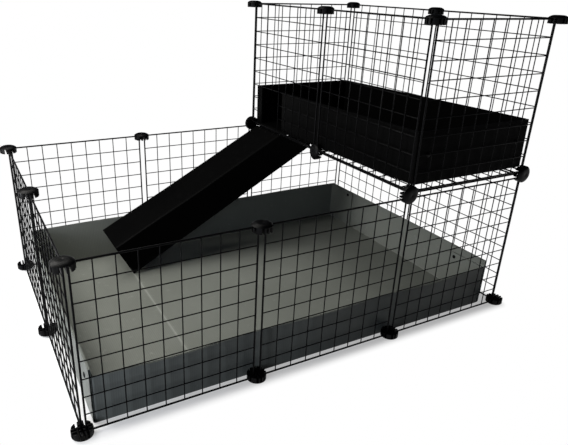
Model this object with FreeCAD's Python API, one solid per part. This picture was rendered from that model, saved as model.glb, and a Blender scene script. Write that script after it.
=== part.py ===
import FreeCAD, Part
import math
import os

V = FreeCAD.Vector
X_AXIS = V(1, 0, 0)
Y_AXIS = V(0, 1, 0)
Z_AXIS = V(0, 0, 1)

# All sizes are in millimetres. The origin is on the floor, under the middle of the cage.
# +X runs along the cage to the loft end, +Y to the back and +Z up.

# Layout of the grid lines
COLUMNS = 3                  # panels along the cage
ROWS = 2                     # panels across the cage
LOFT_COLUMNS = 1             # of those, the panels that the loft covers at the right end

# Wire grid panels
GRID_OUTER = 355.0           # outside size of a square panel
GRID_CELLS = 9               # cells along each side
FRAME_WIRE = 4.0             # diameter of the border wire
FRAME_BEND = 6.0             # bend radius at a panel's corners, on the wire's centre line
MESH_WIRE = 2.4              # diameter of the inner wires
WELD_SINK = 0.4              # how far crossing wires are welded into each other

# Doorway cut into the loft's left panel at the top of the ramp
DOOR_FIRST_CELL = 5          # whole cells between the middle post and the doorway
DOOR_CELLS_WIDE = 3
DOOR_CELLS_HIGH = 3
DOOR_SHEET_MARGIN = 3.0      # the loft tray's cut-out is this much wider on each side

# Push connectors
PUCK_RADIUS = 21.0
PUCK_FINS = 10.0             # length of the fins past the wire's centre, into the cage
PUCK_RIM = 3.0               # from the wire's centre out to where the dome starts
PUCK_CROWN = 8.0             # from the wire's centre out to the flat on the dome
PUCK_FLAT = 9.0              # radius of that flat, which a foot stands on
DOME_FULLNESS = 0.19         # outward bulge of the dome's side: 0.2 would make it level at the flat
SLOT_PITCH = 8.0             # spacing of the slots, and from a grid line to a border wire
WIRE_CLEARANCE = 0.3         # around a wire in its slot

# Corrugated plastic sheet
SHEET = 4.0                  # thickness of every sheet
FOLD_RADIUS = 3.0            # outside radius of a fold
FLAP_GAP = 0.3               # between a corner flap and the wall or floor beside it
CREASE_WIDTH = 2.0           # scored line in a sheet
CREASE_DEPTH = 0.8
SEAT_GAP = 0.3               # under a loose piece, above what it rests on
CUT_PAST = 1.0               # how far a cutting shape passes the face that it opens

# Base tray, placed by its gaps to the connectors round it
BASE_LEFT_GAP = 4.0
BASE_RIGHT_GAP = 14.0
BASE_FRONT_GAP = 1.0
BASE_BACK_GAP = 5.0
BASE_WALL = 125.0            # height of the back and end walls, floor included
BASE_FRONT_WALL = 106.0      # the front wall and its flaps are lower
BASE_FLAP = 120.0            # length of a corner flap along the end wall
FLOOR_CREASE = 246.0         # from the tray's left side to the crease across its floor
LEFT_RIVET_INSET = 42.0      # left end: from the corner, and down from the flap's top edge
LEFT_RIVET_DROP = 21.0
RIGHT_RIVET_MARGIN = 22.0    # right end: from the flap's free end, and down from its top edge
RIGHT_RIVET_DROP = 12.0

# Loft tray. Its back edge lies on the shelf and its front edge on the fins of the front connectors.
LOFT_SIDE_GAP = 2.0          # to the fins of the connectors beside it
LOFT_BACK_GAP = 5.0          # to the fins of the connectors behind it
LOFT_FRONT_GAP = 3.0         # to the wires of the front panel
LOFT_WALL = 118.0
LOFT_FLAP = 60.0
LOFT_RIVET_INSET = 31.5
LOFT_RIVET_DROP = 52.0

# Push rivets through a wall and its flap
RIVET_SHANK = 6.0            # diameter
RIVET_HEAD = 12.0            # diameter of the outer head
RIVET_TAIL = 10.0            # diameter of the inner head
RIVET_HEAD_RISE = 2.5        # height of either head
RIVET_HEAD_FLAT = 0.6        # share of a head's radius that is flat on top
RIVET_CLEARANCE = 0.3        # round the shank in its hole

# Ramp and the ties that it hangs from
RAMP_SLOPE = 27.8            # degrees below level
RAMP_LENGTH = 586.0          # from the hinge wire to the lower edge
RAMP_WIDTH = 141.0
RAMP_BACK_GAP = 2.0          # between the ramp and the base tray's back wall
RAMP_TOP_GAP = 3.0           # between the hinge wire and the ramp's upper edge
RAMP_SEAT_GAP = 0.8          # between the ramp's sides and the base tray's floor
SIDE_DEPTH = 93.0            # of the ramp's folded-down sides, at the hinge wire
SIDE_REACH = 108.0           # how far the sides run on under the shelf
SIDE_DROP = 3.0              # between the shelf's wires and the sides under them
TIE_COUNT = 3
TIE_WIDTH = 2.5
TIE_THICKNESS = 1.2
TIE_REACH = 14.0             # from the hinge wire's centre to the centre of the tie's far end
TIE_CLEARANCE = 0.3          # inside the tie, and round it in its hole

# Sizes that follow from the ones above
LOFT_COLUMN = COLUMNS - LOFT_COLUMNS
RAMP_ROW = ROWS - 1
GRID_SPAN = GRID_OUTER - FRAME_WIRE
CELL = GRID_SPAN / GRID_CELLS
MESH_OFFSET = (MESH_WIRE - WELD_SINK) / 2
PITCH = GRID_SPAN + 2 * SLOT_PITCH
BASE_Z = PUCK_CROWN
RIM_Z = BASE_Z + GRID_SPAN
SHELF_Z = RIM_Z + SLOT_PITCH
LOFT_Z = SHELF_Z + SLOT_PITCH
TOP_Z = LOFT_Z + GRID_SPAN
SLOT_WIDTH = FRAME_WIRE + 2 * WIRE_CLEARANCE
MESH_RISE = MESH_OFFSET + MESH_WIRE / 2
LOFT_SIDE = PUCK_FINS + LOFT_SIDE_GAP
LOFT_BACK = PUCK_FINS + LOFT_BACK_GAP
LOFT_FRONT = MESH_RISE + LOFT_FRONT_GAP
RIVET_GRIP = 2 * SHEET + FLAP_GAP
HINGE_X = (LOFT_COLUMN - COLUMNS / 2) * PITCH + SLOT_PITCH
TIE_INNER = max(FRAME_WIRE, SHEET) / 2 + TIE_CLEARANCE
TIE_OUTER = TIE_INNER + TIE_THICKNESS


def grid_x(column):
    """X of a grid line across the cage."""
    return (column - COLUMNS / 2) * PITCH


def grid_y(row):
    """Y of a grid line along the cage."""
    return (row - ROWS / 2) * PITCH


def box(x0, x1, y0, y1, z0, z1):
    """A block between two opposite corners."""
    return Part.makeBox(x1 - x0, y1 - y0, z1 - z0, V(x0, y0, z0))


def rod(start, end, diameter):
    """A straight piece of round wire."""
    run = end - start
    return Part.makeCylinder(diameter / 2, run.Length, start, run)


def placed(shape, position, axis=Z_AXIS, degrees=0.0):
    """A copy of a shape, turned about an axis and moved into position."""
    copy = shape.copy()
    copy.Placement = FreeCAD.Placement(position, FreeCAD.Rotation(axis, degrees))
    return copy


def border_wire():
    """The closed border of a panel: a bent wire round a square, with its first corner at 0, 0."""
    near = FRAME_BEND
    far = GRID_SPAN - FRAME_BEND
    tuck = FRAME_BEND * (1 - math.sqrt(0.5))
    edges = []
    for turn in range(4):
        spin = FreeCAD.Rotation(Z_AXIS, 90 * turn)
        middle = V(GRID_SPAN / 2, GRID_SPAN / 2, 0)
        corner = (V(near, 0, 0), V(far, 0, 0), V(GRID_SPAN - tuck, tuck, 0), V(GRID_SPAN, near, 0))
        start, end, bend, after = [spin.multVec(p - middle) + middle for p in corner]
        edges.append(Part.LineSegment(start, end).toShape())
        edges.append(Part.Arc(end, bend, after).toShape())
    section = Part.Wire([Part.makeCircle(FRAME_WIRE / 2, V(near, 0, 0), X_AXIS)])
    return Part.Wire(edges).makePipeShell([section], True, False)


def wire_panel(with_doorway=False):
    """A welded wire panel lying flat, with its border wire's first corner at 0, 0."""
    door_left = DOOR_FIRST_CELL
    door_right = DOOR_FIRST_CELL + DOOR_CELLS_WIDE
    wires = []
    for line in range(1, GRID_CELLS):
        at = line * CELL
        upright_from = 0.0
        level_runs = [(0.0, GRID_SPAN)]
        if with_doorway and door_left < line < door_right:
            upright_from = DOOR_CELLS_HIGH * CELL
        if with_doorway and line < DOOR_CELLS_HIGH:
            level_runs = [(0.0, door_left * CELL), (door_right * CELL, GRID_SPAN)]
        upright = rod(V(at, upright_from, -MESH_OFFSET), V(at, GRID_SPAN, -MESH_OFFSET), MESH_WIRE)
        wires.append(upright)
        for start, end in level_runs:
            wires.append(rod(V(start, at, MESH_OFFSET), V(end, at, MESH_OFFSET), MESH_WIRE))
    return border_wire().multiFuse(wires).Solids[0]


def panels():
    """Every panel of the cage, by name, from one plain panel and one with the doorway."""
    plain = wire_panel()
    doorway = wire_panel(with_doorway=True)
    made = {}

    def wall_along_x(name, column, row, z):
        made[name] = placed(plain, V(grid_x(column) + SLOT_PITCH, grid_y(row), z), X_AXIS, 90)

    def wall_along_y(name, column, row, z, shape=plain):
        made[name] = placed(shape, V(grid_x(column), grid_y(row) + SLOT_PITCH, z), V(1, 1, 1), 120)

    for column in range(COLUMNS):
        wall_along_x("front_panel_%d" % (column + 1), column, 0, BASE_Z)
        wall_along_x("back_panel_%d" % (column + 1), column, ROWS, BASE_Z)
    for row in range(ROWS):
        wall_along_y("left_panel_%d" % (row + 1), 0, row, BASE_Z)
        wall_along_y("right_panel_%d" % (row + 1), COLUMNS, row, BASE_Z)
        wall_along_y("loft_right_panel_%d" % (row + 1), COLUMNS, row, LOFT_Z)
        if row == RAMP_ROW:
            wall_along_y("loft_doorway_panel", LOFT_COLUMN, row, LOFT_Z, doorway)
        else:
            wall_along_y("loft_left_panel_%d" % (row + 1), LOFT_COLUMN, row, LOFT_Z)
    for column in range(LOFT_COLUMN, COLUMNS):
        number = column - LOFT_COLUMN + 1
        wall_along_x("loft_front_panel_%d" % number, column, 0, LOFT_Z)
        wall_along_x("loft_back_panel_%d" % number, column, ROWS, LOFT_Z)
        for row in range(ROWS):
            corner = V(grid_x(column) + SLOT_PITCH, grid_y(row) + SLOT_PITCH, SHELF_Z)
            made["shelf_panel_%d" % (row * LOFT_COLUMNS + number)] = placed(plain, corner)
    return made


def push_connector():
    """A domed disc with slots between its fins. The dome faces down and the fins face up."""
    rim = V(PUCK_RADIUS, 0, -PUCK_RIM)
    flat = V(PUCK_FLAT, 0, -PUCK_CROWN)
    slope = flat - rim
    bulge = (rim + flat) / 2 + V(-slope.z, 0, slope.x) * (DOME_FULLNESS / 2)
    bottom = V(0, 0, -PUCK_CROWN)
    top = V(0, 0, PUCK_FINS)
    edge = V(PUCK_RADIUS, 0, PUCK_FINS)
    outline = [
        Part.LineSegment(top, edge).toShape(),
        Part.LineSegment(edge, rim).toShape(),
        Part.Arc(rim, bulge, flat).toShape(),
        Part.LineSegment(flat, bottom).toShape(),
        Part.LineSegment(bottom, top).toShape(),
    ]
    disc = Part.Face(Part.Wire(outline)).revolve(V(0, 0, 0), Z_AXIS, 360)
    reach = PUCK_RADIUS + CUT_PAST
    mouth = PUCK_FINS + CUT_PAST
    half = SLOT_WIDTH / 2
    slots = []
    for place in (-SLOT_PITCH, 0.0, SLOT_PITCH):
        slots.append(box(-reach, reach, place - half, place + half, -half, mouth))
        slots.append(box(place - half, place + half, -reach, reach, -half, mouth))
    # The outer crossings are rounded to the bend of a panel's corner
    inside = FRAME_BEND - half
    near = SLOT_PITCH + half
    bend = Part.makeCylinder(inside, half + mouth, V(near + inside, near + inside, -half))
    corner = box(near, near + inside, near, near + inside, -half, mouth).cut(bend)
    for turn in range(4):
        slots.append(placed(corner, V(0, 0, 0), Z_AXIS, 90 * turn))
    return disc.cut(slots[0].multiFuse(slots[1:])).Solids[0]


def posts_round(first_column):
    """Grid points round the outside of the cage, from a column to its right end."""
    points = [(column, row) for column in range(first_column, COLUMNS + 1) for row in range(ROWS + 1)]
    return [(c, r) for c, r in points if c in (first_column, COLUMNS) or r in (0, ROWS)]


def facing_out(column, row):
    """Axis and angle that turn a connector's dome out of the cage at a grid point of the shelf."""
    if row == 0:
        return X_AXIS, -90
    if row == ROWS:
        return X_AXIS, 90
    if column == COLUMNS:
        return Y_AXIS, -90
    if column == LOFT_COLUMN:
        return Y_AXIS, 90
    return Z_AXIS, 0


def connectors():
    """Every connector of the cage, by name."""
    puck = push_connector()
    made = {}

    def add(name, number, post, z, axis, degrees):
        at = V(grid_x(post[0]), grid_y(post[1]), z)
        made["%s_connector_%d" % (name, number)] = placed(puck, at, axis, degrees)

    for number, post in enumerate(posts_round(0), 1):
        add("foot", number, post, BASE_Z, Z_AXIS, 0)
    rim = [post for post in posts_round(0) if post[0] < LOFT_COLUMN]
    for number, post in enumerate(rim, 1):
        add("rim", number, post, RIM_Z, X_AXIS, 180)
    for number, post in enumerate(posts_round(LOFT_COLUMN), 1):
        add("loft", number, post, TOP_Z, X_AXIS, 180)
    shelf = [(c, r) for c in range(LOFT_COLUMN, COLUMNS + 1) for r in range(ROWS + 1)]
    for number, post in enumerate(shelf, 1):
        add("shelf", number, post, SHELF_Z, *facing_out(*post))
    return made


def folded_tray(length, width, front, height, flap):
    """A box folded from one sheet, with its corner flaps lying inside the walls at its X ends.

    The front wall and its flaps have a height of their own.
    """
    inner = SHEET + FLAP_GAP
    pieces = [
        box(0, SHEET, 0, width, 0, height),
        box(length - SHEET, length, 0, width, 0, height),
        box(inner, length - inner, 0, SHEET, 0, front),
        box(inner, length - inner, width - SHEET, width, 0, height),
    ]
    for x0, x1 in ((inner, inner + SHEET), (length - inner - SHEET, length - inner)):
        pieces.append(box(x0, x1, 0, flap, inner, front))
        pieces.append(box(x0, x1, width - flap, width, inner, height))
    tray = box(0, length, 0, width, 0, SHEET).multiFuse(pieces).removeSplitter().Solids[0]
    folds = []
    for edge in tray.Edges:
        bounds = edge.BoundBox
        if bounds.ZMax < FLAP_GAP and bounds.DiagonalLength > height:
            folds.append(edge)
    return tray.makeFillet(FOLD_RADIUS, folds).Solids[0]


def rivet_spots(length, width, front, height, left, right):
    """Where the rivets go: point on the outer face of an X end wall, and the way inwards."""
    spots = []
    for x, way, (inset, drop) in ((0.0, 1, left), (length, -1, right)):
        for y, flap_top in ((inset, front), (width - inset, height)):
            spots.append((V(x, y, flap_top - drop), V(way, 0, 0)))
    return spots


def push_rivet(spot, inwards):
    """A rivet through a wall and its flap: outer head, shank and inner head."""
    head = RIVET_HEAD / 2
    tail = RIVET_TAIL / 2
    shank = RIVET_SHANK / 2
    rise = RIVET_HEAD_RISE
    far = RIVET_GRIP
    outline = [
        V(0, 0, -rise), V(head * RIVET_HEAD_FLAT, 0, -rise), V(head, 0, -rise / 2), V(head, 0, 0),
        V(shank, 0, 0), V(shank, 0, far),
        V(tail, 0, far), V(tail, 0, far + rise / 2), V(tail * RIVET_HEAD_FLAT, 0, far + rise),
        V(0, 0, far + rise), V(0, 0, -rise),
    ]
    rivet = Part.Face(Part.makePolygon(outline)).revolve(V(0, 0, 0), Z_AXIS, 360)
    rivet.Placement = FreeCAD.Placement(spot, FreeCAD.Rotation(Z_AXIS, inwards))
    return rivet


def riveted(tray, spots):
    """The tray with its rivet holes, and the rivets as a group of separate solids."""
    bore = RIVET_SHANK / 2 + RIVET_CLEARANCE
    for spot, inwards in spots:
        start = spot - inwards * CUT_PAST
        tray = tray.cut(Part.makeCylinder(bore, RIVET_GRIP + 2 * CUT_PAST, start, inwards))
    rivets = Part.makeCompound([push_rivet(spot, inwards) for spot, inwards in spots])
    return tray.Solids[0], rivets


def base_tray():
    """The grey tray on the floor, with a scored crease across it, and its rivets."""
    length = COLUMNS * PITCH - 2 * PUCK_RADIUS - BASE_LEFT_GAP - BASE_RIGHT_GAP
    width = ROWS * PITCH - 2 * PUCK_RADIUS - BASE_FRONT_GAP - BASE_BACK_GAP
    tray = folded_tray(length, width, BASE_FRONT_WALL, BASE_WALL, BASE_FLAP)
    crease = box(FLOOR_CREASE - CREASE_WIDTH / 2, FLOOR_CREASE + CREASE_WIDTH / 2,
                 SHEET, width - SHEET, SHEET - CREASE_DEPTH, SHEET + CUT_PAST)
    left = (LEFT_RIVET_INSET, LEFT_RIVET_DROP)
    right = (BASE_FLAP - RIGHT_RIVET_MARGIN, RIGHT_RIVET_DROP)
    spots = rivet_spots(length, width, BASE_FRONT_WALL, BASE_WALL, left, right)
    tray, rivets = riveted(tray.cut(crease), spots)
    corner = V(grid_x(0) + PUCK_RADIUS + BASE_LEFT_GAP, grid_y(0) + PUCK_RADIUS + BASE_FRONT_GAP, 0)
    return placed(tray, corner), placed(rivets, corner)


def loft_tilt(length):
    """Degrees by which the fins at the front lift the loft tray, which turns on its back edge."""
    fins = math.sqrt(PUCK_RADIUS ** 2 - LOFT_SIDE ** 2)
    return math.degrees(math.asin((fins - MESH_RISE) / (length - PUCK_FINS + LOFT_FRONT)))


def loft_tray():
    """The black tray on the shelf, with the doorway cut out of its left wall, and its rivets."""
    length = ROWS * PITCH - LOFT_FRONT - LOFT_BACK
    width = LOFT_COLUMNS * PITCH - 2 * LOFT_SIDE
    tray = folded_tray(length, width, LOFT_WALL, LOFT_WALL, LOFT_FLAP)
    doorway = RAMP_ROW * PITCH + SLOT_PITCH + DOOR_FIRST_CELL * CELL - LOFT_FRONT
    door_from = doorway - DOOR_SHEET_MARGIN
    door_to = doorway + DOOR_CELLS_WIDE * CELL + DOOR_SHEET_MARGIN
    tray = tray.cut(box(door_from, door_to, width - SHEET - CUT_PAST, width + CUT_PAST,
                        SHEET, LOFT_WALL + CUT_PAST))
    rivet = (LOFT_RIVET_INSET, LOFT_RIVET_DROP)
    spots = rivet_spots(length, width, LOFT_WALL, LOFT_WALL, rivet, rivet)
    tray, rivets = riveted(tray, spots)
    floor = SHELF_Z + MESH_RISE + SEAT_GAP
    corner = V(grid_x(COLUMNS) - LOFT_SIDE, grid_y(0) + LOFT_FRONT, floor)
    back_edge = corner + V(0, length, 0)
    pieces = [placed(tray, corner, Z_AXIS, 90), placed(rivets, corner, Z_AXIS, 90)]
    for piece in pieces:
        piece.rotate(back_edge, X_AXIS, -loft_tilt(length))
    return pieces


def on_ramp(along, up, y=0.0):
    """A point on the ramp's slope: down along it from the hinge wire, and up from its middle."""
    slope = math.radians(RAMP_SLOPE)
    x = HINGE_X - along * math.cos(slope) - up * math.sin(slope)
    z = SHELF_Z - along * math.sin(slope) + up * math.cos(slope)
    return V(x, y, z)


def across(outline, y0, y1):
    """An outline in the X-Z plane, made into a solid between two Y values."""
    start = [V(p.x, y0, p.z) for p in outline]
    return Part.Face(Part.makePolygon(start + start[:1])).extrude(V(0, y1 - y0, 0))


def ramp_sides():
    """The ramp's front and back edges."""
    back = grid_y(RAMP_ROW + 1) - PUCK_RADIUS - BASE_BACK_GAP - SHEET - RAMP_BACK_GAP
    return back - RAMP_WIDTH, back


def tie_places():
    """Y of each tie: the middles of panel cells, spread over the ramp's width."""
    front, back = ramp_sides()
    first = grid_y(RAMP_ROW) + SLOT_PITCH + CELL / 2
    cells = [first + k * CELL for k in range(GRID_CELLS)]
    usable = [y for y in cells if front + TIE_REACH < y < back - TIE_REACH]
    last = len(usable) - 1
    return [usable[round(last * k / (TIE_COUNT - 1))] for k in range(TIE_COUNT)]


def ramp_side():
    """Outline of a folded-down side: it stands on the tray's floor and runs on under the shelf."""
    half = SHEET / 2
    top = FRAME_WIRE / 2 + RAMP_TOP_GAP
    slope = math.radians(RAMP_SLOPE)
    lower = on_ramp(RAMP_LENGTH, half)
    depth = (lower.z - SHEET - RAMP_SEAT_GAP) / math.cos(slope)
    heel = on_ramp(RAMP_LENGTH, half - depth)
    under_hinge = on_ramp(0, half - SIDE_DEPTH)
    end_x = HINGE_X + SIDE_REACH
    rise = (under_hinge.z - heel.z) / (under_hinge.x - heel.x)
    level = SHELF_Z - FRAME_WIRE / 2 - SIDE_DROP
    notch = (level - on_ramp(top, 0).z) / math.cos(slope)
    return [on_ramp(top, half), lower, heel, V(end_x, 0, heel.z + rise * (end_x - heel.x)),
            V(end_x, 0, level), on_ramp(top, notch)]


def ramp():
    """One sheet: the sloping board, with a side folded down along each of its long edges."""
    front, back = ramp_sides()
    half = SHEET / 2
    top = FRAME_WIRE / 2 + RAMP_TOP_GAP
    board = [on_ramp(top, half), on_ramp(RAMP_LENGTH, half), on_ramp(RAMP_LENGTH, -half), on_ramp(top, -half)]
    sides = [across(ramp_side(), front, front + SHEET), across(ramp_side(), back - SHEET, back)]
    sheet = across(board, front, back).multiFuse(sides).removeSplitter().Solids[0]
    edge = board[1] - board[0]
    folds = []
    for line in sheet.Edges:
        middle = line.CenterOfMass
        along_slope = abs(line.Length - edge.Length) < CUT_PAST
        if along_slope and min(abs(middle.y - front), abs(middle.y - back)) < FLAP_GAP:
            folds.append(line)
    sheet = sheet.makeFillet(FOLD_RADIUS, folds)
    near = TIE_REACH + math.sqrt(TIE_INNER ** 2 - half ** 2) - TIE_CLEARANCE
    far = TIE_REACH + TIE_OUTER + TIE_CLEARANCE
    slot = TIE_WIDTH / 2 + TIE_CLEARANCE
    hole = [on_ramp(near, -SHEET), on_ramp(far, -SHEET), on_ramp(far, SHEET), on_ramp(near, SHEET)]
    for y in tie_places():
        sheet = sheet.cut(across(hole, y - slot, y + slot))
    return sheet.Solids[0]


def tie_outline(radius):
    """A long loop round the hinge wire and the end of the ramp."""
    far = TIE_REACH
    edges = [
        Part.Arc(on_ramp(0, radius), on_ramp(-radius, 0), on_ramp(0, -radius)).toShape(),
        Part.LineSegment(on_ramp(0, -radius), on_ramp(far, -radius)).toShape(),
        Part.Arc(on_ramp(far, -radius), on_ramp(far + radius, 0), on_ramp(far, radius)).toShape(),
        Part.LineSegment(on_ramp(far, radius), on_ramp(0, radius)).toShape(),
    ]
    return Part.Face(Part.Wire(edges)).extrude(V(0, TIE_WIDTH, 0))


def ramp_ties():
    """The plastic ties that the ramp hangs and turns on, as a group of separate solids."""
    loop = tie_outline(TIE_OUTER).cut(tie_outline(TIE_INNER)).Solids[0]
    return Part.makeCompound([placed(loop, V(0, y - TIE_WIDTH / 2, 0)) for y in tie_places()])


def assembly():
    """Every piece of the cage in its place, by name."""
    pieces = panels()
    pieces.update(connectors())
    pieces["base_tray"], pieces["base_tray_rivets"] = base_tray()
    pieces["loft_tray"], pieces["loft_tray_rivets"] = loft_tray()
    pieces["ramp"] = ramp()
    pieces["ramp_ties"] = ramp_ties()
    return pieces


os.makedirs("parts", exist_ok=True)
for name, shape in assembly().items():
    shape.exportStep(os.path.join("parts", name + ".step"))
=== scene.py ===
"""A wire-grid pet cage with a grey base tray, a black loft tray and a black ramp, in a white studio."""

import logging
import math
from dataclasses import dataclass, field
from enum import Enum
from typing import Any, Callable

import bpy
import numpy as np
from mathutils import Matrix, Vector


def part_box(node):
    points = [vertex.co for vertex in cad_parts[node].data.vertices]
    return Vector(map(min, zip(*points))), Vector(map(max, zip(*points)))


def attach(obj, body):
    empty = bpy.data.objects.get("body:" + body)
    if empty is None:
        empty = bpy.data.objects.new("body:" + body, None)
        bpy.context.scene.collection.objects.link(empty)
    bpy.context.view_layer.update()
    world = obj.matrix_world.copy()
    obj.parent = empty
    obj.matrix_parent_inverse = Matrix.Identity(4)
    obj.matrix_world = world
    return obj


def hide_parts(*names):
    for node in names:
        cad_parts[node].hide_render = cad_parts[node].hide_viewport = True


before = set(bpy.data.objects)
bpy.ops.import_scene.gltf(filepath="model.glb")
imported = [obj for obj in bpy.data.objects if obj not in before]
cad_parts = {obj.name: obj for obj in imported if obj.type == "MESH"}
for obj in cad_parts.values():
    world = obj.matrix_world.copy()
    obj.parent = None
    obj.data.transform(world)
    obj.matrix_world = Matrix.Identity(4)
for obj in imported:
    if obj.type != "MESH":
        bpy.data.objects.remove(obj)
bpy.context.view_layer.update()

log = logging.getLogger("pet_cage")

MM = 0.001                   # metres in a millimetre
IMAGE_WIDTH = 568            # pixels of the picture's frame
IMAGE_HEIGHT = 445
SMOOTH_ANGLE = math.radians(32.0)   # edges that turn further than this stay sharp
SAME_POINT = 0.01            # millimetres within which two corners of an outline count as one
FOLD_SAVING = 0.43           # length that a fold's arc saves over its two tangents, in radii of the fold
WHITE = "#ffffff"
Array = np.ndarray
Pair = tuple[float, float]
Place = tuple[float, float, float]
Warp = Callable[[Array, Array, Array], Array]   # gives moved points for their s, v and place
Z_AXIS = np.array([0.0, 0.0, 1.0])


@dataclass
class Shell:
    """One or more closed skins: points in millimetres, faces, and values carried by the points."""

    points: Array
    quads: Array = field(default_factory=lambda: np.zeros((0, 4), int))
    tris: Array = field(default_factory=lambda: np.zeros((0, 3), int))
    marks: dict[str, Array] = field(default_factory=dict)

    def outward(self) -> "Shell":
        """Turns the faces outwards: a closed skin whose signed volume is negative is inside out.

        Returns:
            The same shell, with its faces reversed if they pointed inwards.
        """
        halves = np.concatenate([self.quads[:, [0, 1, 2]], self.quads[:, [0, 2, 3]], self.tris])
        a, b, c = (self.points[halves[:, k]] for k in range(3))
        if np.einsum("ij,ij->i", a, np.cross(b, c)).sum() < 0:
            self.quads = self.quads[:, ::-1]
            self.tris = self.tris[:, ::-1]
        return self

    def moved(self, axes: Array, origin: Array) -> "Shell":
        """Puts a shell that was made in its own frame into the cage's frame.

        Args:
            axes: The own frame's three axes, one per row.
            origin: The own frame's origin.

        Returns:
            A new shell: each point is the origin plus its coordinates along the axes.
        """
        return Shell(self.points @ axes + origin, self.quads, self.tris, self.marks).outward()


def joined(shells: list[Shell]) -> Shell:
    """Puts several shells into one.

    Args:
        shells: The shells, all with the same marks.

    Returns:
        One shell with all their points and faces.
    """
    starts = np.cumsum([0] + [len(s.points) for s in shells[:-1]])
    return Shell(
        np.concatenate([s.points for s in shells]),
        np.concatenate([s.quads + k for s, k in zip(shells, starts)]),
        np.concatenate([s.tris + k for s, k in zip(shells, starts)]),
        {name: np.concatenate([s.marks[name] for s in shells]) for name in shells[0].marks},
    )


def skin(rings: Array, looped: bool = False) -> Shell:
    """Skins a row of closed rings: quads between ring i and i + 1, and a fan over each end.

    Args:
        rings: Points, indexed by ring, place round the ring, and coordinate.
        looped: Whether the last ring joins the first, with no ends.

    Returns:
        A closed shell that faces outwards.
    """
    count, around = rings.shape[:2]
    first = np.arange(count if looped else count - 1)[:, None] * around
    here = np.arange(around)[None, :]
    after = (here + 1) % around
    second = (first + around) % (count * around)
    quads = np.stack([first + here, first + after, second + after, second + here], -1).reshape(-1, 4)
    points = rings.reshape(-1, 3)
    if looped:
        return Shell(points, quads).outward()
    ends = np.stack([rings[0].mean(0), rings[-1].mean(0)])
    low, high = len(points), len(points) + 1
    last = (count - 1) * around
    i, j = here[0], after[0]
    tris = np.concatenate([
        np.stack([np.full(around, low), j, i], -1),
        np.stack([np.full(around, high), last + i, last + j], -1),
    ])
    return Shell(np.concatenate([points, ends]), quads, tris).outward()


def closed_tube(path: Array, normal: Array, radius: float, sides: int) -> Shell:
    """Carries a circle round a closed path that lies in a plane.

    Each ring is the path's point plus the radius times (cosine of the turn along the plane's
    normal, sine of the turn along the path's side), where side is tangent cross normal.

    Args:
        path: Points of the centre line.
        normal: The plane's unit normal.
        radius: Radius of the wire.
        sides: Points round each ring.

    Returns:
        The tube as a closed shell.
    """
    tangent = np.roll(path, -1, 0) - np.roll(path, 1, 0)
    tangent /= np.linalg.norm(tangent, axis=1, keepdims=True)
    side = np.cross(tangent, normal)
    turn = np.linspace(0, 2 * np.pi, sides, endpoint=False)[None, :, None]
    rings = path[:, None] + radius * (np.cos(turn) * normal + np.sin(turn) * side[:, None])
    return skin(rings, looped=True)


def turned(profile: Array, segments: int) -> Shell:
    """Turns a profile round the Z axis: x = r cos a, y = r sin a, z from the profile.

    Args:
        profile: Radius and height pairs, from one end of the axis to the other.
        segments: Points round the axis.

    Returns:
        The turned body as a closed shell.
    """
    angle = np.linspace(0, 2 * np.pi, segments, endpoint=False)
    radius, height = profile[:, :1], profile[:, 1:]
    rings = np.stack([radius * np.cos(angle), radius * np.sin(angle), height + 0 * angle], -1)
    return skin(rings)


def prism(outline: Array, levels: Array, growth: Array) -> Shell:
    """Carries an outline up the Z axis, drawn in or out about its middle at each level.

    Args:
        outline: Corners of the outline in X and Y.
        levels: Heights of the rings.
        growth: How far each ring is pushed out from the outline, in millimetres.

    Returns:
        The prism as a closed shell.
    """
    middle = outline.mean(0)
    away = outline - middle
    reach = np.linalg.norm(away, axis=1, keepdims=True)
    flat = middle + away * (1 + growth[:, None, None] / reach)
    height = np.broadcast_to(levels[:, None, None], flat.shape[:2] + (1,))
    return skin(np.concatenate([flat, height], -1))


def arc(centre: Pair, radius: float, start: float, end: float, steps: int) -> Array:
    """Points on part of a circle: centre + radius (cos a, sin a) for a from start to end.

    Args:
        centre: Middle of the circle.
        radius: Its radius.
        start: First angle, in degrees.
        end: Last angle, in degrees.
        steps: Number of steps between them.

    Returns:
        The points, one more than the steps.
    """
    a = np.radians(np.linspace(start, end, steps + 1))
    return np.asarray(centre) + radius * np.stack([np.cos(a), np.sin(a)], -1)


def put(name: str, shell: Shell, material: bpy.types.Material, body: str, slot: str, *nodes: str) -> None:
    """Makes a piece of the cage out of a shell, rides it on its body and hides the nodes it stands for.

    Args:
        name: Name of the piece.
        shell: Its skin, in millimetres.
        material: Its finish.
        body: The body that it moves with.
        slot: Not used.
        nodes: The nodes that it replaces.
    """
    mesh = bpy.data.meshes.new(name)
    mesh.vertices.add(len(shell.points))
    mesh.vertices.foreach_set("co", (shell.points * MM).astype(np.float32).ravel())
    corners = np.concatenate([shell.quads.ravel(), shell.tris.ravel()])
    sizes = np.repeat([4, 3], [len(shell.quads), len(shell.tris)])
    mesh.loops.add(len(corners))
    mesh.loops.foreach_set("vertex_index", corners.astype(np.int32))
    mesh.polygons.add(len(sizes))
    mesh.polygons.foreach_set("loop_start", (np.cumsum(sizes) - sizes).astype(np.int32))
    mesh.update(calc_edges=True)
    for mark, values in shell.marks.items():
        layer = mesh.attributes.new(mark, "FLOAT", "POINT")
        layer.data.foreach_set("value", values.astype(np.float32))
    mesh.shade_smooth()
    mesh.set_sharp_from_angle(angle=SMOOTH_ANGLE)
    mesh.materials.append(material)
    piece = bpy.data.objects.new(name, mesh)
    bpy.context.scene.collection.objects.link(piece)
    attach(piece, body)
    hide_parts(*nodes)
    log.info("%s: %d points, rides on %s", name, len(shell.points), body)


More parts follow.
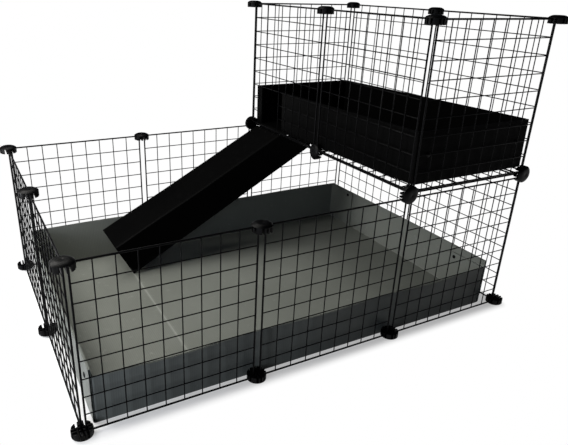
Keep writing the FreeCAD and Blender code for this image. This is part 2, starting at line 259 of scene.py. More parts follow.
def linear(colour: str) -> tuple[float, float, float, float]:
    """Turns an sRGB hex colour into linear light.

    Args:
        colour: Six hex digits after a hash sign.

    Returns:
        Red, green, blue and an alpha of 1.
    """
    parts = [int(colour[k:k + 2], 16) / 255 for k in (1, 3, 5)]
    red, green, blue = (c / 12.92 if c <= 0.04045 else ((c + 0.055) / 1.055) ** 2.4 for c in parts)
    return red, green, blue, 1.0


def add_node(tree: bpy.types.NodeTree, kind: str, inputs: dict[Any, Any], **settings: Any) -> bpy.types.Node:
    """Adds a node to a tree, with its settings, its values and its links.

    Args:
        tree: The tree.
        kind: The node's type.
        inputs: Values, or sockets to link from, by the name or number of the input.
        settings: Properties of the node.

    Returns:
        The new node.
    """
    node = tree.nodes.new(kind)
    for name, value in settings.items():
        setattr(node, name, value)
    for name, value in inputs.items():
        if isinstance(value, bpy.types.NodeSocket):
            tree.links.new(value, node.inputs[name])
        else:
            node.inputs[name].default_value = value
    return node


def empty_material(name: str) -> tuple[bpy.types.Material, bpy.types.NodeTree]:
    """Makes a material with no nodes in it.

    Args:
        name: Its name.

    Returns:
        The material and its node tree.
    """
    material = bpy.data.materials.new(name)
    material.use_nodes = True
    material.node_tree.nodes.clear()
    return material, material.node_tree


@dataclass(frozen=True)
class CoatedWire:
    """Mild steel wire, welded into a grid and powder coated black.

    The coating flows before it sets, so it gives a satin black with a soft orange peel and rounded
    highlights along the wire, and a little house dust dulls it in patches.
    """

    name: str = "powder_coated_steel_wire"
    colour: str = "#050506"
    dusty: str = "#0f0f0f"
    dust_patch_mm: float = 55.0
    dust_span: Pair = (0.45, 0.75)     # values of the noise where dust starts and is thickest
    dust_share: float = 0.35           # of the dust's colour where it is thickest
    peel_mm: float = 2.4               # real peel is about 1 mm, drawn coarser so that it shows
    peel_depth_mm: float = 0.05
    peel_strength: float = 0.5
    roughness: Pair = (0.30, 0.52)     # of clean and of dusty coating
    rough_span: Pair = (0.3, 0.7)      # values of the noise that give these two
    ior: float = 1.5
    specular: float = 0.05             # under the usual 0.5, as the wires look flat black

    def material(self) -> bpy.types.Material:
        """Builds the finish.

        Returns:
            The material.
        """
        material, tree = empty_material(self.name)
        place = add_node(tree, "ShaderNodeTexCoord", {}).outputs["Object"]
        dust = add_node(tree, "ShaderNodeTexNoise", {
            "Vector": place, "Scale": 1 / (self.dust_patch_mm * MM), "Detail": 4.0}).outputs["Fac"]
        peel = add_node(tree, "ShaderNodeTexNoise", {
            "Vector": place, "Scale": 1 / (self.peel_mm * MM), "Detail": 2.0}).outputs["Fac"]
        film = add_node(tree, "ShaderNodeMapRange", {
            "Value": dust, "From Min": self.dust_span[0], "From Max": self.dust_span[1],
            "To Min": 0.0, "To Max": self.dust_share}).outputs[0]
        colour = add_node(tree, "ShaderNodeMix", {
            0: film, 6: linear(self.colour), 7: linear(self.dusty)}, data_type="RGBA").outputs[2]
        rough = add_node(tree, "ShaderNodeMapRange", {
            "Value": dust, "From Min": self.rough_span[0], "From Max": self.rough_span[1],
            "To Min": self.roughness[0], "To Max": self.roughness[1]}).outputs[0]
        bump = add_node(tree, "ShaderNodeBump", {
            "Height": peel, "Strength": self.peel_strength,
            "Distance": self.peel_depth_mm * MM}).outputs[0]
        shader = add_node(tree, "ShaderNodeBsdfPrincipled", {
            "Base Color": colour, "Roughness": rough, "Normal": bump,
            "IOR": self.ior, "Specular IOR Level": self.specular}).outputs[0]
        add_node(tree, "ShaderNodeOutputMaterial", {"Surface": shader})
        return material


@dataclass(frozen=True)
class MouldedPlastic:
    """Polypropylene or nylon, injection moulded in a spark-eroded steel mould and dyed black.

    The mould leaves a fine even grain, so the plastic gives a broad soft highlight, with paler scuffs
    where it has been handled.
    """

    name: str
    colour: str
    scuffed: str
    grain_mm: float
    grain_depth_mm: float
    scuff_mm: float
    roughness: Pair                    # of smooth and of scuffed plastic
    rough_span: Pair = (0.3, 0.7)      # values of the noise that give these two
    scuff_span: Pair = (0.5, 0.78)     # values of the noise where scuffs start and are palest
    scuff_share: float = 0.6           # of the scuffs' colour where they are palest
    grain_strength: float = 0.4
    ior: float = 1.49
    specular: float = 0.08             # under the usual 0.5, as the grain scatters most of the gloss

    def material(self) -> bpy.types.Material:
        """Builds the finish.

        Returns:
            The material.
        """
        material, tree = empty_material(self.name)
        place = add_node(tree, "ShaderNodeTexCoord", {}).outputs["Object"]
        grain = add_node(tree, "ShaderNodeTexVoronoi", {
            "Vector": place, "Scale": 1 / (self.grain_mm * MM)}, feature="SMOOTH_F1").outputs["Distance"]
        scuff = add_node(tree, "ShaderNodeTexNoise", {
            "Vector": place, "Scale": 1 / (self.scuff_mm * MM), "Detail": 6.0, "Roughness": 0.65,
        }).outputs["Fac"]
        worn = add_node(tree, "ShaderNodeMapRange", {
            "Value": scuff, "From Min": self.scuff_span[0], "From Max": self.scuff_span[1],
            "To Min": 0.0, "To Max": self.scuff_share}).outputs[0]
        colour = add_node(tree, "ShaderNodeMix", {
            0: worn, 6: linear(self.colour), 7: linear(self.scuffed)}, data_type="RGBA").outputs[2]
        rough = add_node(tree, "ShaderNodeMapRange", {
            "Value": scuff, "From Min": self.rough_span[0], "From Max": self.rough_span[1],
            "To Min": self.roughness[0], "To Max": self.roughness[1]}).outputs[0]
        bump = add_node(tree, "ShaderNodeBump", {
            "Height": grain, "Strength": self.grain_strength,
            "Distance": self.grain_depth_mm * MM}).outputs[0]
        shader = add_node(tree, "ShaderNodeBsdfPrincipled", {
            "Base Color": colour, "Roughness": rough, "Normal": bump, "IOR": self.ior,
            "Specular IOR Level": self.specular}).outputs[0]
        add_node(tree, "ShaderNodeOutputMaterial", {"Surface": shader})
        return material


@dataclass(frozen=True)
class FlutedSheet:
    """Extruded twin-wall polypropylene sheet, two skins joined by a row of webs.

    Each web draws the skin in a little as it cools, so the sheet gives the eye fine parallel lines along
    its flutes, a satin gloss that breaks up across them, pale lines where it was folded, a painted highlight
    as a pale line along a scored line, and pale scuffs. It reads the across and along places on the sheet,
    so that the lines turn with each fold.
    """

    name: str
    colour: str
    web: str                           # over a web, where the skin is drawn in
    pale: str                          # folds, cut edges, scuffs and the painted highlight along a scored line
    cloud: str                         # slow change of tone over the sheet
    roughness: Pair                    # of clean and of scuffed sheet
    specular: float
    pitch_mm: float = 4.6              # spacing of the webs
    web_span: Pair = (0.1, 1.0)        # values of the cosine where a web's line starts and is full
    sink_mm: float = 0.05              # depth of the sink over a web
    sink_strength: float = 0.5
    streak_mm: float = 9.0             # width of the die lines along the flutes
    streak_drift: float = 0.04         # how fast those change along the flutes, against across them
    cloud_mm: float = 240.0
    cloud_span: Pair = (0.35, 0.65)    # values of the noise between the two tones
    scuff_mm: float = 14.0
    scuff_span: Pair = (0.58, 0.85)    # values of the noise where scuffs start and are palest
    scuff_share: float = 0.5           # of the pale colour where they are palest
    rough_span: Pair = (0.3, 0.75)     # values of the noise that give the two roughnesses
    ior: float = 1.49

    def material(self) -> bpy.types.Material:
        """Builds the finish.

        Returns:
            The material.
        """
        material, tree = empty_material(self.name)
        place = add_node(tree, "ShaderNodeTexCoord", {}).outputs["Object"]
        across = add_node(tree, "ShaderNodeAttribute", {}, attribute_name="across").outputs["Fac"]
        along = add_node(tree, "ShaderNodeAttribute", {}, attribute_name="along").outputs["Fac"]
        fold = add_node(tree, "ShaderNodeAttribute", {}, attribute_name="fold").outputs["Fac"]
        phase = add_node(tree, "ShaderNodeMath", {
            0: across, 1: 2 * math.pi / (self.pitch_mm * MM)}, operation="MULTIPLY").outputs[0]
        wave = add_node(tree, "ShaderNodeMath", {0: phase}, operation="COSINE").outputs[0]
        webs = add_node(tree, "ShaderNodeMapRange", {
            "Value": wave, "From Min": self.web_span[0], "From Max": self.web_span[1],
            "To Min": 0.0, "To Max": 1.0}).outputs[0]
        wide = add_node(tree, "ShaderNodeMath", {
            0: across, 1: 1 / (self.streak_mm * MM)}, operation="MULTIPLY").outputs[0]
        slow = add_node(tree, "ShaderNodeMath", {
            0: along, 1: self.streak_drift / (self.streak_mm * MM)}, operation="MULTIPLY").outputs[0]
        lines = add_node(tree, "ShaderNodeCombineXYZ", {0: wide, 1: slow}).outputs[0]
        streaks = add_node(tree, "ShaderNodeTexNoise", {
            "Vector": lines, "Scale": 1.0, "Detail": 3.0}).outputs["Fac"]
        cloud = add_node(tree, "ShaderNodeTexNoise", {
            "Vector": place, "Scale": 1 / (self.cloud_mm * MM), "Detail": 3.0}).outputs["Fac"]
        scuff = add_node(tree, "ShaderNodeTexNoise", {
            "Vector": place, "Scale": 1 / (self.scuff_mm * MM), "Detail": 7.0, "Roughness": 0.7,
        }).outputs["Fac"]
        clouded = add_node(tree, "ShaderNodeMapRange", {
            "Value": cloud, "From Min": self.cloud_span[0], "From Max": self.cloud_span[1],
            "To Min": 0.0, "To Max": 1.0}).outputs[0]
        toned = add_node(tree, "ShaderNodeMix", {
            0: clouded, 6: linear(self.colour), 7: linear(self.cloud)}, data_type="RGBA").outputs[2]
        lined = add_node(tree, "ShaderNodeMath", {0: webs, 1: streaks}, operation="MULTIPLY").outputs[0]
        webbed = add_node(tree, "ShaderNodeMix", {
            0: lined, 6: toned, 7: linear(self.web)}, data_type="RGBA").outputs[2]
        worn = add_node(tree, "ShaderNodeMapRange", {
            "Value": scuff, "From Min": self.scuff_span[0], "From Max": self.scuff_span[1],
            "To Min": 0.0, "To Max": self.scuff_share}).outputs[0]
        # pale colour for scuffs, folds and the painted highlight along a scored line
        paled = add_node(tree, "ShaderNodeMath", {
            0: worn, 1: fold}, operation="ADD", use_clamp=True).outputs[0]
        colour = add_node(tree, "ShaderNodeMix", {
            0: paled, 6: webbed, 7: linear(self.pale)}, data_type="RGBA").outputs[2]
        rough = add_node(tree, "ShaderNodeMapRange", {
            "Value": scuff, "From Min": self.rough_span[0], "From Max": self.rough_span[1],
            "To Min": self.roughness[0], "To Max": self.roughness[1]}).outputs[0]
        sink = add_node(tree, "ShaderNodeMath", {0: webs, 1: -1.0}, operation="MULTIPLY").outputs[0]
        relief = add_node(tree, "ShaderNodeMath", {0: sink, 1: streaks}, operation="ADD").outputs[0]
        bump = add_node(tree, "ShaderNodeBump", {
            "Height": relief, "Strength": self.sink_strength, "Distance": self.sink_mm * MM}).outputs[0]
        shader = add_node(tree, "ShaderNodeBsdfPrincipled", {
            "Base Color": colour, "Roughness": rough, "Normal": bump, "IOR": self.ior,
            "Specular IOR Level": self.specular}).outputs[0]
        add_node(tree, "ShaderNodeOutputMaterial", {"Surface": shader})
        return material


class Lie(Enum):
    """How a wire panel stands: its own along, up and out axes in the cage's frame."""

    ALONG_X = ((1, 0, 0), (0, 0, 1), (0, -1, 0))
    ALONG_Y = ((0, 1, 0), (0, 0, 1), (1, 0, 0))
    FLAT = ((1, 0, 0), (0, 1, 0), (0, 0, 1))


@dataclass
class WirePanels:
    """The square welded grids that wall the cage in and carry the loft."""

    span: float = 351.0          # between the centres of opposite border wires
    cells: int = 9
    border_wire: float = 4.0     # diameter
    border_bend: float = 6.0     # radius of its corners
    bend_steps: int = 6
    border_sides: int = 12
    mesh_wire: float = 2.4       # diameter
    mesh_sides: int = 10
    end_lifts: tuple[float, ...] = (75.0, 40.0, 0.0)   # degrees up to each ring of a wire's round end
    weld_sink: float = 0.4       # how far two mesh wires sink into each other
    nugget: float = 1.55         # radius of the swelling of the coating at a weld
    nugget_share: float = 0.62   # half its height, in diameters of the mesh wire
    nugget_rings: int = 4
    nugget_sides: int = 8
    door_first: int = 5          # cells before the doorway, then its width and height in cells
    door_wide: int = 3
    door_high: int = 3
    groups: dict[str, Lie] = field(default_factory=lambda: {
        "front_panel": Lie.ALONG_X, "back_panel": Lie.ALONG_X, "loft_front_panel": Lie.ALONG_X,
        "loft_back_panel": Lie.ALONG_X, "left_panel": Lie.ALONG_Y, "right_panel": Lie.ALONG_Y,
        "loft_left_panel": Lie.ALONG_Y, "loft_right_panel": Lie.ALONG_Y,
        "loft_doorway_panel": Lie.ALONG_Y, "shelf_panel": Lie.FLAT,
    })

    def border(self) -> Shell:
        """The border: a circle carried round a square with rounded corners.

        Returns:
            The border wire.
        """
        near, far = self.border_bend, self.span - self.border_bend
        corners = [((far, near), -90), ((far, far), 0), ((near, far), 90), ((near, near), 180)]
        flat = np.concatenate([arc(c, self.border_bend, a, a + 90, self.bend_steps) for c, a in corners])
        path = np.column_stack([flat, np.zeros(len(flat))])
        return closed_tube(path, Z_AXIS, self.border_wire / 2, self.border_sides)

    def wire(self, start: Pair, end: Pair, out: float) -> Shell:
        """A straight mesh wire, with ends that are rounded like half a ball.

        The rings of an end stand out by the radius times the sine of their lift, and their own radius is
        its cosine.

        Args:
            start: One end in the panel's plane.
            end: The other end.
            out: How far its centre stands out of the panel's middle plane.

        Returns:
            The wire.
        """
        a, b = np.array([*start, out]), np.array([*end, out])
        along = (b - a) / np.linalg.norm(b - a)
        side = np.cross(along, Z_AXIS)
        radius = self.mesh_wire / 2
        lift = np.radians(self.end_lifts)
        offset = np.concatenate([-np.sin(lift), np.sin(lift[::-1])]) * radius
        reach = np.concatenate([np.cos(lift), np.cos(lift[::-1])]) * radius
        centre = np.repeat(np.stack([a, b]), len(lift), 0) + offset[:, None] * along
        turn = np.linspace(0, 2 * np.pi, self.mesh_sides, endpoint=False)[None, :, None]
        ring = np.cos(turn) * Z_AXIS + np.sin(turn) * side
        return skin(centre[:, None] + reach[:, None, None] * ring)

    def nuggets(self, spots: Array) -> Shell:
        """Small swellings at the welds: one flattened ball, copied to every spot.

        Args:
            spots: Places of the welds in the panel's plane.

        Returns:
            All the swellings.
        """
        lift = np.radians(np.linspace(-90, 90, self.nugget_rings + 2)[1:-1])
        half_height = self.mesh_wire * self.nugget_share
        profile = np.stack([np.cos(lift) * self.nugget, np.sin(lift) * half_height], -1)
        ball = turned(profile, self.nugget_sides)
        places = np.column_stack([spots, np.zeros(len(spots))])
        count = len(ball.points)
        shift = np.arange(len(spots))[:, None, None] * count
        return Shell(
            (ball.points[None] + places[:, None]).reshape(-1, 3),
            (ball.quads[None] + shift).reshape(-1, 4),
            (ball.tris[None] + shift).reshape(-1, 3),
        )

    def grid(self, doorway: bool) -> Shell:
        """One whole panel, lying flat with its border's first corner at 0, 0.

        Args:
            doorway: Whether the doorway is cut out of it.

        Returns:
            The panel.
        """
        cell = self.span / self.cells
        out = (self.mesh_wire - self.weld_sink) / 2
        door = (self.door_first, self.door_first + self.door_wide)
        lines = np.arange(1, self.cells)
        parts = [self.border()]
        for line in lines:
            at = line * cell
            cut_upright = doorway and door[0] < line < door[1]
            bottom = self.door_high * cell if cut_upright else 0.0
            parts.append(self.wire((at, bottom), (at, self.span), -out))
            if doorway and line < self.door_high:
                parts.append(self.wire((0.0, at), (door[0] * cell, at), out))
                parts.append(self.wire((door[1] * cell, at), (self.span, at), out))
            else:
                parts.append(self.wire((0.0, at), (self.span, at), out))
        column, row = (k.ravel() for k in np.meshgrid(lines, lines))
        if doorway:
            kept = ~((column > door[0]) & (column < door[1]) & (row < self.door_high))
            column, row = column[kept], row[kept]
        parts.append(self.nuggets(np.column_stack([column, row]) * cell))
        return joined(parts)

    def build(self, material: bpy.types.Material) -> None:
        """Makes every panel and stands it where its node is.

        Args:
            material: The wire's finish.
        """
        plain, doorway = self.grid(False), self.grid(True)
        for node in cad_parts:
            lie = self.groups.get(node.rstrip("0123456789").rstrip("_"))
            if lie is None:
                continue
            low, high = (np.array(corner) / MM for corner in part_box(node))
            axes = np.array(lie.value, float)
            flat = np.abs(axes[:2]).sum(0)
            origin = np.where(flat > 0, low + self.border_wire / 2, (low + high) / 2)
            shape = doorway if node == "loft_doorway_panel" else plain
            put(node + "_wires", shape.moved(axes, origin), material, "wire_frame", "panel_wire", node)


class Facing(Enum):
    """Which way a connector's dome looks: the connector's own axes in the cage's frame."""

    DOWN = ((1, 0, 0), (0, 1, 0), (0, 0, 1))
    UP = ((1, 0, 0), (0, -1, 0), (0, 0, -1))
    FRONT = ((1, 0, 0), (0, 0, -1), (0, 1, 0))
    BACK = ((1, 0, 0), (0, 0, 1), (0, -1, 0))
    RIGHT = ((0, 0, 1), (0, 1, 0), (-1, 0, 0))
    LEFT = ((0, 0, -1), (0, 1, 0), (1, 0, 0))


@dataclass
class PushConnectors:
    """The round moulded discs whose slots grip the border wires."""

    radius: float = 21.0
    fins: float = 10.0           # length of the fins past the wire's centre
    rim: float = 3.0             # from the wire's centre out to where the dome starts
    crown: float = 8.0           # from the wire's centre out to the flat
    flat: float = 9.0            # radius of the flat
    fullness: float = 0.19       # outward bulge of the dome's side
    side_rings: int = 11         # rings on that side
    dimple: tuple[Pair, ...] = ((0.15, 0.5), (1.54, 0.5), (2.2, 0.2), (2.75, 0.0))   # radius and depth
    shoulder: Pair = (0.4, 0.02)   # width and drop of the edge round the slots' floor
    pole: float = 0.15           # radius of the last ring, next to the axis
    slot_pitch: float = 8.0
    slot_width: float = 4.2
    edge: float = 0.5            # rounding of the fins' tips
    edge_share: float = 0.3      # of that rounding, up to its middle ring
    draft: float = 0.1           # how far a fin is drawn in towards its tip
    fin_inset: float = 0.05      # between a fin's outer face and the disc's
    fin_root: float = 0.3        # how far a fin reaches into the disc
    near_points: int = 5         # points on a fin's straight side and on its outer side
    far_points: int = 9
    segments: int = 56
    shelf_facings: tuple[Facing, ...] = (
        Facing.FRONT, Facing.LEFT, Facing.BACK, Facing.FRONT, Facing.RIGHT, Facing.BACK)

    def disc(self) -> Shell:
        """The domed disc, turned from a profile that runs from the dome's middle to the slots' floor.

        The side runs from the rim to the flat and bulges outwards by 4 s (1 - s) times its fullness, for s
        from 0 to 1, and the flat has the shallow dimple that the mould's gate leaves.

        Returns:
            The disc, with its dome facing down.
        """
        rim, flat = np.array([self.radius, -self.rim]), np.array([self.flat, -self.crown])
        chord = flat - rim
        bulge = np.array([-chord[1], chord[0]]) * self.fullness / 2
        share = np.linspace(1, 0, self.side_rings)[:, None]
        side = rim + chord * share + 4 * share * (1 - share) * bulge
        dimple = np.array(self.dimple) - np.array([0.0, self.crown])
        floor = -self.slot_width / 2
        width, drop = self.shoulder
        wall = np.array([[self.radius, floor - drop], [self.radius - width, floor], [self.pole, floor]])
        return turned(np.concatenate([dimple, side, wall]), self.segments)

    def post(self, x: Pair, y: Pair) -> Shell:
        """A fin between the slots: a rectangle whose far side may be cut by the disc's circle.

        Args:
            x: Its least and greatest X.
            y: Its least Y, and its greatest where the circle doesn't cut it first.

        Returns:
            The fin, with a rounded tip.
        """
        reach = self.radius - self.fin_inset
        half = math.sqrt(reach ** 2 - y[0] ** 2)
        left, right = max(x[0], -half), min(x[1], half)
        near = np.linspace(left, right, self.near_points)
        far = np.linspace(right, left, self.far_points)
        top = np.minimum(y[1], np.sqrt(np.maximum(reach ** 2 - far ** 2, y[0] ** 2)))
        straight = np.column_stack([near, np.full_like(near, y[0])])
        outline = np.concatenate([straight, np.column_stack([far, top])])
        apart = np.linalg.norm(outline - np.roll(outline, 1, 0), axis=1) > SAME_POINT
        base = -self.slot_width / 2 - self.fin_root
        middle = self.edge * self.edge_share
        levels = np.array([base, self.fins - self.edge, self.fins - middle, self.fins])
        growth = np.array([0.0, -self.draft, -self.draft - middle, -self.draft - self.edge])
        return prism(outline[apart], levels, growth)

    def puck(self) -> Shell:
        """One connector: the disc and the fins that its crossing slots leave standing.

        Returns:
            The connector, with its dome facing down.
        """
        half = self.slot_width / 2
        inner = (half, self.slot_pitch - half)
        outer = (self.slot_pitch + half, self.radius)
        bands = [(-inner[1], -inner[0]), inner, outer]
        parts = [self.disc()]
        quarter = np.array([[0.0, 1.0, 0.0], [-1.0, 0.0, 0.0], [0.0, 0.0, 1.0]])
        for turn in range(4):
            axes = np.linalg.matrix_power(quarter, turn)
            here = [self.post(inner, inner)] + [self.post(band, outer) for band in bands]
            parts += [part.moved(axes, np.zeros(3)) for part in here]
        return joined(parts)

    def build(self, material: bpy.types.Material) -> None:
        """Makes every connector and turns it the way its node faces.

        Args:
            material: The plastic's finish.
        """
        puck = self.puck()
        facings = {"foot_connector": Facing.DOWN, "rim_connector": Facing.UP, "loft_connector": Facing.UP}
        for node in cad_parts:
            group, _, number = node.rpartition("_")
            if not group.endswith("connector"):
                continue
            facing = facings.get(group) or self.shelf_facings[int(number) - 1]
            axes = np.array(facing.value, float)
            low, high = (np.array(corner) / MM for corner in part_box(node))
            origin = (low + high) / 2 - axes[2] * (self.fins - self.crown) / 2
            put(node + "_moulding", puck.moved(axes, origin), material, "wire_frame", "connector", node)


def quad_grid(index: Array) -> Array:
    """Quads between the neighbours of a grid of point numbers.

    Args:
        index: Point numbers by row and column.

    Returns:
        The quads.
    """
    a, b, c, d = index[:-1, :-1], index[1:, :-1], index[1:, 1:], index[:-1, 1:]
    return np.stack([a, b, c, d], -1).reshape(-1, 4)


def slab_faces(index: Array) -> Array:
    """The six sides of a slab: its two faces and the strips round their edges.

    Args:
        index: Point numbers by row, column and one of the two faces.

    Returns:
        The quads, all turned the same way.
    """
    return np.concatenate([
        quad_grid(index[:, :, 0]), quad_grid(index[:, ::-1, 1]), quad_grid(index[:, 0, ::-1]),
        quad_grid(index[:, -1, :]), quad_grid(index[0]), quad_grid(index[-1, :, ::-1])])


def bent_line(corners: Array, radius: float, steps: int = 5) -> tuple[Array, list[float]]:
    """A line of straight runs joined by arcs: each inner corner is replaced by a tangent arc.

    Args:
        corners: The corners, with the two ends.
        radius: Radius of the arcs.
        steps: Steps in each arc.

    Returns:
        The line's points, and the length along it near the middle of each arc.
    """
    points = [corners[:1]]
    middles = []
    for before, corner, after in zip(corners, corners[1:], corners[2:]):
        into = (corner - before) / np.linalg.norm(corner - before)
        out = (after - corner) / np.linalg.norm(after - corner)
        turn = math.acos(np.clip(into @ out, -1, 1))
        start = corner - into * radius * math.tan(turn / 2)
        side = np.array([-into[1], into[0]]) * np.sign(into[0] * out[1] - into[1] * out[0])
        angle = np.linspace(0, turn, steps + 1)[:, None]
        points.append(start + radius * (np.sin(angle) * into + (1 - np.cos(angle)) * side))
        middles.append(points[-1][steps // 2])
    points.append(corners[-1:])
    line = np.concatenate(points)
    reach = np.concatenate([[0.0], np.cumsum(np.linalg.norm(np.diff(line, axis=0), axis=1))])
    places = [float(reach[np.argmin(np.linalg.norm(line - m, axis=1))]) for m in middles]
    return line, places


@dataclass
class FoldedSheet:
    """A sheet bent along a line in a plane and carried straight across that plane.

    A place on it is s along the bent line, v across the plane and n in from its outer face:
    the line's point at s, plus n times the line's inward normal, plus v along the third axis.
    """

    line: Array                  # points of the outer face's line
    thickness: float
    axes: Array                  # the line's two axes and the across axis, one per row
    warp: Warp                   # moves points, given their s, v and place
    inside: float = 1.0          # 1 where the inner face is on the line's left, -1 on its right
    folds: tuple[float, ...] = ()   # lengths along the line at which it is folded, and of any painted highlight line
    fold_width: float = 2.5      # of the pale line along a fold
    fold_paleness: float = 0.55
    fold_rows: tuple[float, ...] = (-2.4, -1.2, 0.0, 1.2, 2.4)   # rows of points at a fold, in its widths
    step: float = 18.0           # between rows of points elsewhere
    least_step: float = 0.2      # a row nearer than this to the one before is left out
    rib_pitch: float = 4.6       # spacing of the webs at a cut edge
    rib_wall: float = 0.45       # thickness of a web and of a skin
    rib_depth: float = 5.0       # how far the flutes are drawn open
    reach: Array = field(init=False)     # length along the line at each of its points
    normals: Array = field(init=False)   # inward normal at each of them

    def __post_init__(self) -> None:
        """Works out the length along the line and the inward normals at its points."""
        runs = np.linalg.norm(np.diff(self.line, axis=0), axis=1)
        self.reach = np.concatenate([[0.0], np.cumsum(runs)])
        tangent = np.gradient(self.line, self.reach, axis=0)
        tangent /= np.linalg.norm(tangent, axis=1, keepdims=True)
        self.normals = self.inside * np.column_stack([-tangent[:, 1], tangent[:, 0]])

    @property
    def length(self) -> float:
        """The length along the whole line."""
        return float(self.reach[-1])

    def place(self, s: Array, v: Array, n: Array) -> Array:
        """Puts places on the sheet into the own frame of the piece that it makes.

        Args:
            s: Lengths along the line.
            v: Places across the plane.
            n: Depths in from the outer face.

        Returns:
            The points, with the coordinates last.
        """
        first, second = (
            np.interp(s, self.reach, self.line[:, k]) + n * np.interp(s, self.reach, self.normals[:, k])
            for k in range(2))
        points = first[..., None] * self.axes[0] + second[..., None] * self.axes[1]
        return self.warp(s, v, points + v[..., None] * self.axes[2])

    def paleness(self, s: Array) -> Array:
        """How pale the sheet is from folding, and along any painted highlight line given with the folds: a
        bell round each fold.

        Args:
            s: Lengths along the line.

        Returns:
            Shares from 0 to 1.
        """
        pale = np.zeros_like(s)
        for at in self.folds:
            pale = np.maximum(pale, np.exp(-((s - at) / self.fold_width) ** 2))
        return pale * self.fold_paleness

    def stations(self, start: float, end: float) -> Array:
        """Places along the line for a part of the sheet: even steps, the line's own points and its folds.

        Args:
            start: First length.
            end: Last length.

        Returns:
            The lengths in order.
        """
        even = np.linspace(start, end, max(2, math.ceil((end - start) / self.step)))
        bends = self.reach[1:-1]
        near = np.add.outer(np.array(self.folds), self.fold_width * np.array(self.fold_rows)).ravel()
        every = np.concatenate([even, bends, near])
        every = np.unique(np.round(every[(every >= start) & (every <= end)], 3))
        return every[np.concatenate([[True], np.diff(every) > self.least_step])]

    def block(self, s: Pair, v: Array, n: Pair | None = None) -> Shell:
        """Part of the sheet as a closed slab: two grids of s by v, with quads round their edges.

        Args:
            s: First and last length along the line.
            v: Places across the plane.
            n: First and last depth, or the whole thickness.

        Returns:
            The slab, marked with its places across and along the flutes and its paleness.
        """
        depths = np.array(n or (0.0, self.thickness))
        grid = np.meshgrid(self.stations(*s), v, depths, indexing="ij")
        rows, columns = grid[0].shape[:2]
        index = np.arange(rows * columns * 2).reshape(rows, columns, 2)
        points = self.place(*grid).reshape(-1, 3)
        return Shell(points, slab_faces(index), marks=self.marks(grid[0], grid[1])).outward()

    def marks(self, s: Array, v: Array) -> dict[str, Array]:
        """The values that the finish reads on the sheet.

        Args:
            s: Lengths along the line.
            v: Places across the plane.

        Returns:
            The marks by name, one value for each point.
        """
        return {"across": s.ravel() * MM, "along": v.ravel() * MM, "fold": self.paleness(s).ravel()}

    def open_edge(self, s: Pair, edge: float, depth: float) -> list[Shell]:
        """The cut edge across the flutes: two thin skins, and a row of thin blocks for the webs.

        Each web reaches halfway into both skins.

        Args:
            s: First and last length along the line.
            edge: Where the sheet ends across the plane.
            depth: Where the solid part of the sheet starts.

        Returns:
            The skins and the webs.
        """
        v = np.array([depth, edge])
        wall = self.rib_wall
        skins = [self.block(s, v, (0.0, wall)), self.block(s, v, (self.thickness - wall, self.thickness))]
        centres = np.arange(s[0] + wall / 2, s[1], self.rib_pitch)
        offset = np.array([-wall / 2, wall / 2])
        depths = np.array([wall / 2, self.thickness - wall / 2])
        grid = np.meshgrid(centres, offset, v, depths, indexing="ij")
        places, across = grid[0] + grid[1], grid[2]
        corner = np.arange(8).reshape(2, 2, 2)
        box = slab_faces(corner)
        quads = (box[None] + corner.size * np.arange(len(centres))[:, None, None]).reshape(-1, 4)
        points = self.place(places, across, grid[3]).reshape(-1, 3)
        return skins + [Shell(points, quads, marks=self.marks(places, across)).outward()]

    def panel(self, s: Pair, v: Pair, open_ends: tuple[bool, bool], rows: int) -> list[Shell]:
        """Part of the sheet, solid inside and with open flutes at the ends that are cut across them.

        Args:
            s: First and last length along the line.
            v: First and last place across the plane.
            open_ends: Whether the first and the last end shows open flutes.
            rows: Rows of faces across the plane.

        Returns:
            The shells that make it up.
        """
        first = v[0] + (self.rib_depth if open_ends[0] else 0.0)
        last = v[1] - (self.rib_depth if open_ends[1] else 0.0)
        parts = [self.block(s, np.linspace(first, last, rows + 1))]
        if open_ends[0]:
            parts += self.open_edge(s, v[0], first)
        if open_ends[1]:
            parts += self.open_edge(s, v[1], last)
        return parts


